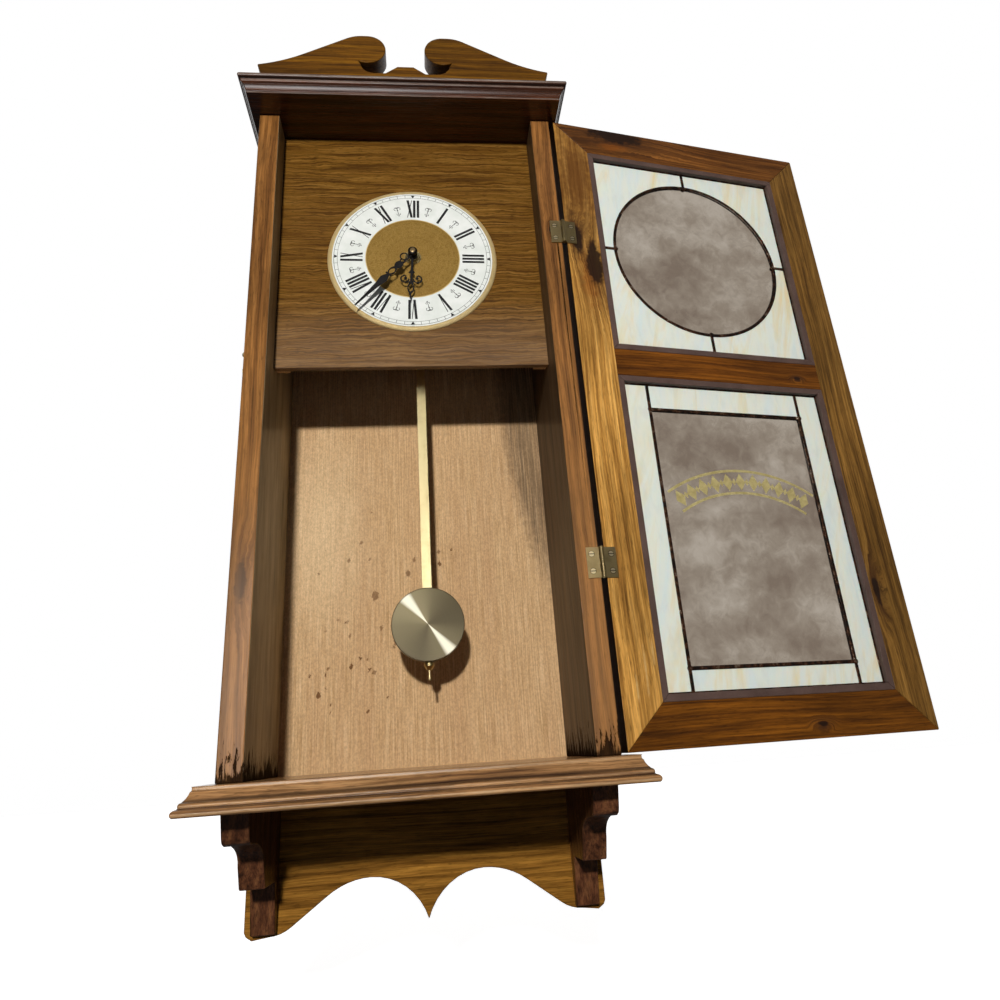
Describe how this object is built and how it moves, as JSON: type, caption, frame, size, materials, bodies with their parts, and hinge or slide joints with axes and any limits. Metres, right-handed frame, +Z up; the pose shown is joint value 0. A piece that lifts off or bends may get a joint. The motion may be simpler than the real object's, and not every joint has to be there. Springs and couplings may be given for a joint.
{
  "type": "wall regulator clock",
  "caption": "Wooden wall clock with a swan-neck pediment, a hinged leaded glass door, a round dial with hands, a quartz movement and a swinging pendulum.",
  "frame": {"origin": "centre of the hanging hole on the rear face of the back panel, where it meets the wall", "axes": "+X to the viewer's right, +Y back into the wall, +Z up; the dial and the closed door face -Y"},
  "size_m": [0.5939, 0.1678, 0.8125],
  "materials": {
    "pine": "satin varnish, orange-brown pine",
    "pine_rail": "satin varnish, darker pine with knots",
    "stained_wood": "glossy red-brown stain",
    "dark_wood": "satin walnut stain",
    "oak_veneer": "matt, brown oak with straight grain",
    "plain_wood": "raw, unfinished softwood",
    "back_ply": "matt, light plywood",
    "brass": "polished",
    "bob_brass": "radially brushed",
    "dial_white": "satin white enamel with black numerals",
    "black_steel": "satin black",
    "black_plastic": "matt black",
    "gear_plastic": "natural acetal",
    "knob_plastic": "matt red",
    "steel": "plated",
    "cell_case": "plain wrapped cell",
    "copper_coil": "enamelled copper wire",
    "rubber": "matt",
    "lead": "dark leaded came",
    "stop_dark": "dark painted glazing strip",
    "opal_glass": "streaky white opal glass",
    "clear_glass": "clear glass"
  },
  "bodies": {
    "case": {"side_board_left": "pine", "side_board_right": "pine", "crown_board": "stained_wood", "base_board": "stained_wood", "back_panel": "back_ply", "lower_back_board": "dark_wood", "bracket_left": "dark_wood", "bracket_right": "dark_wood", "pediment": "pine", "dial_board": "oak_veneer", "dial_cleats": "plain_wood", "case_screws": "brass", "hinge_case_leaves": "brass", "hinge_case_screws": "brass", "hinge_pins": "brass", "catch_screw": "brass", "dial_pan": "brass", "chapter_ring": "dial_white", "dial_centre": "brass", "movement_housing": "black_plastic", "movement_cover": "black_plastic", "rubber_washer": "rubber", "fixing_washer": "brass", "fixing_nut": "brass", "drive_coil": "copper_coil", "battery": "cell_case", "battery_contacts": "steel", "pendulum_drive": "black_plastic"},
    "door": {"door_stile_hinge": "pine", "door_stile_free": "pine", "door_top_rail": "pine_rail", "door_mid_rail": "pine_rail", "door_bottom_rail": "pine_rail", "upper_opal_glass": "opal_glass", "upper_round_glass": "clear_glass", "upper_came": "lead", "lower_opal_glass": "opal_glass", "lower_clear_glass": "clear_glass", "lower_came": "lead", "upper_glass_stops": "stop_dark", "lower_glass_stops": "stop_dark", "hinge_door_leaves": "brass", "hinge_door_screws": "brass", "catch_peg": "brass"},
    "hook": {"catch_hook": "brass"},
    "pendulum": {"suspension_lever": "steel", "pendulum_rod": "brass"},
    "bob": {"pendulum_bob": "bob_brass"},
    "nut": {"rating_nut": "brass"},
    "minute": {"minute_hand": "black_steel", "minute_arbor": "brass", "hand_nut": "black_steel"},
    "hour": {"hour_hand": "black_steel", "hour_wheel": "gear_plastic"},
    "intermediate": {"minute_wheel": "gear_plastic", "set_knob": "knob_plastic"}
  },
  "joints": [
    {"name": "door_hinge", "type": "hinge", "parent": "case", "child": "door", "pos_m": [0.1461, -0.1334, -0.267], "axis": [0, 0, 1], "range_deg": [-190, 5]},
    {"name": "catch_pivot", "type": "hinge", "parent": "case", "child": "hook", "pos_m": [-0.14475, -0.1243, -0.231], "axis": [-1, 0, 0], "range_deg": [0, 90]},
    {"name": "pendulum_swing", "type": "hinge", "parent": "case", "child": "pendulum", "pos_m": [0.006, -0.064, -0.127], "axis": [0, 1, 0], "range_deg": [-4, 4]},
    {"name": "bob_slide", "type": "slide", "parent": "pendulum", "child": "bob", "axis": [0, 0, 1], "range_m": [-0.0021, 0.0021]},
    {"name": "rating_nut_turn", "type": "hinge", "parent": "bob", "child": "nut", "pos_m": [0.006, -0.05655, -0.494], "axis": [0, 0, 1], "range_deg": [-1080.1, 1080.1]},
    {"name": "minute_hand_turn", "type": "hinge", "parent": "case", "child": "minute", "pos_m": [0.0019, -0.102, -0.1137], "axis": [0, 1, 0], "continuous": true},
    {"name": "hour_hand_turn", "type": "hinge", "parent": "case", "child": "hour", "pos_m": [0.0019, -0.102, -0.1137], "axis": [0, 1, 0], "continuous": true},
    {"name": "minute_wheel_turn", "type": "hinge", "parent": "case", "child": "intermediate", "pos_m": [-0.0101, -0.087, -0.1137], "axis": [0, 1, 0], "continuous": true}
  ],
  "couplings": [
    {"joint": "rating_nut_turn", "follows": "bob_slide", "rad_per_m": 8976},
    {"joint": "hour_hand_turn", "follows": "minute_hand_turn", "ratio": 0.083333},
    {"joint": "minute_wheel_turn", "follows": "minute_hand_turn", "ratio": -0.33333}
  ]
}
